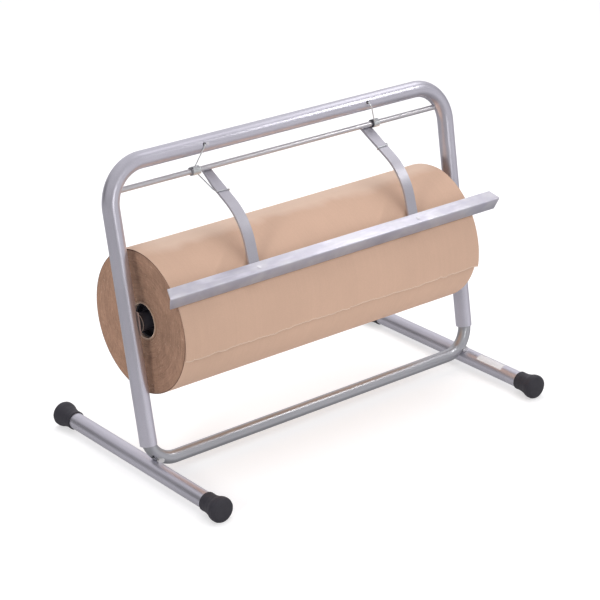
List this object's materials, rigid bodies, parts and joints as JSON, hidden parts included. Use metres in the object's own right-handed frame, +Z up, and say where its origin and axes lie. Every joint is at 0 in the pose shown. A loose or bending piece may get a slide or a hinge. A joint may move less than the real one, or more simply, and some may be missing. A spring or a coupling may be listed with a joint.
{
  "type": "gift wrap paper cutter",
  "caption": "Leaning tubular counter stand holding a wide roll of kraft wrapping paper on an axle, with a spring-pressed hinged tear bar resting on the paper.",
  "frame": {"origin": "centre of the bounding box at floor level, under the stand", "axes": "+X along the roll to the right as seen from the front, -Y to the front where the paper is torn, +Z up"},
  "size_m": [0.7288, 0.446, 0.5169],
  "materials": {
    "frame_paint": "silver-grey satin paint",
    "cutter_paint": "darker silver-grey satin paint",
    "rod_steel": "drawn bar, dull",
    "bright_steel": "bare, bright",
    "zinc_wire": "zinc plated",
    "black_rubber": "matt",
    "black_plastic": "moulded, matt",
    "wrap_paper": "brown kraft, uncoated",
    "core_board": "spiral-wound board",
    "sticker_paper": "white, blank"
  },
  "bodies": {
    "frame": {"upper_hoop": "frame_paint", "lower_u_rail": "frame_paint", "left_foot_tube": "frame_paint", "right_foot_tube": "frame_paint", "left_front_cap": "black_rubber", "left_rear_cap": "black_rubber", "right_front_cap": "black_rubber", "right_rear_cap": "black_rubber", "left_weld_tab": "bright_steel", "right_weld_tab": "bright_steel", "left_cradle": "cutter_paint", "right_cradle": "cutter_paint", "left_spring_coil": "zinc_wire", "right_spring_coil": "zinc_wire", "foot_sticker": "sticker_paper"},
    "cutter": {"pivot_rod": "rod_steel", "left_arm": "cutter_paint", "right_arm": "cutter_paint", "cutter_bar": "cutter_paint", "arm_rivets": "cutter_paint", "rod_rings": "black_rubber", "left_spring_leg": "zinc_wire", "right_spring_leg": "zinc_wire"},
    "spindle": {"axle_rod": "rod_steel", "loose_sheet": "wrap_paper"},
    "roll": {"paper_roll": "wrap_paper", "cardboard_core": "core_board", "left_core_plug": "black_plastic", "right_core_plug": "black_plastic", "nose_rings": "zinc_wire"}
  },
  "joints": [
    {"name": "cutter_lift", "type": "hinge", "parent": "frame", "child": "cutter", "pos_m": [0, 0.0426, 0.4635], "axis": [-1, 0, 0], "range_deg": [0, 70], "stiffness_Nm_per_rad": 0.9, "springref_deg": -28.65},
    {"name": "roll_lift", "type": "slide", "parent": "frame", "child": "spindle", "axis": [0, 0.7071, 0.7071], "range_m": [0, 0.06]},
    {"name": "roll_spin", "type": "hinge", "parent": "spindle", "child": "roll", "pos_m": [0, 0.0125, 0.251], "axis": [1, 0, 0], "continuous": true}
  ]
}
